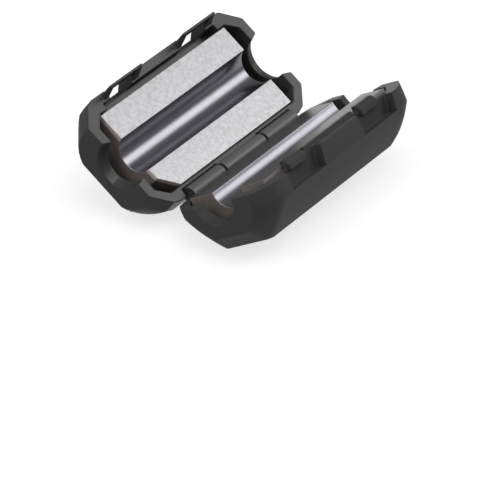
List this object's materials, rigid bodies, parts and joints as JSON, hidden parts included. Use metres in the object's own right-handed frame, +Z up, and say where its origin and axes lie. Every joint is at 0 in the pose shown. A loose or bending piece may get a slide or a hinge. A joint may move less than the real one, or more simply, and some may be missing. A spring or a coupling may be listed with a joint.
{
  "type": "clip-on ferrite bead",
  "caption": "Clip-on ferrite bead: a hinged plastic case, shown open, with half of a split ferrite core in each shell, closed round a cable to damp high-frequency noise",
  "frame": {"origin": "on the table under the middle of the open clip", "axes": "+X along the cable grooves, +Y from the hook shell towards the window shell, +Z up"},
  "size_m": [0.025, 0.0234, 0.0117],
  "materials": {
    "hook_shell": "fine moulded grain, satin, charcoal",
    "hook_core": "sintered ferrite, ground joint face, glazed cable groove",
    "window_shell": "fine moulded grain, satin, charcoal",
    "window_core": "sintered ferrite, ground joint face, glazed cable groove"
  },
  "bodies": {
    "hook_half": {"hook_shell": "hook_shell", "hook_core": "hook_core"},
    "window_half": {"window_shell": "window_shell", "window_core": "window_core"}
  },
  "joints": [
    {"name": "hinge", "type": "hinge", "parent": "hook_half", "child": "window_half", "pos_m": [0, 0.00019, 0.00291], "axis": [1, 0, 0], "range_deg": [0, 113.5]}
  ]
}
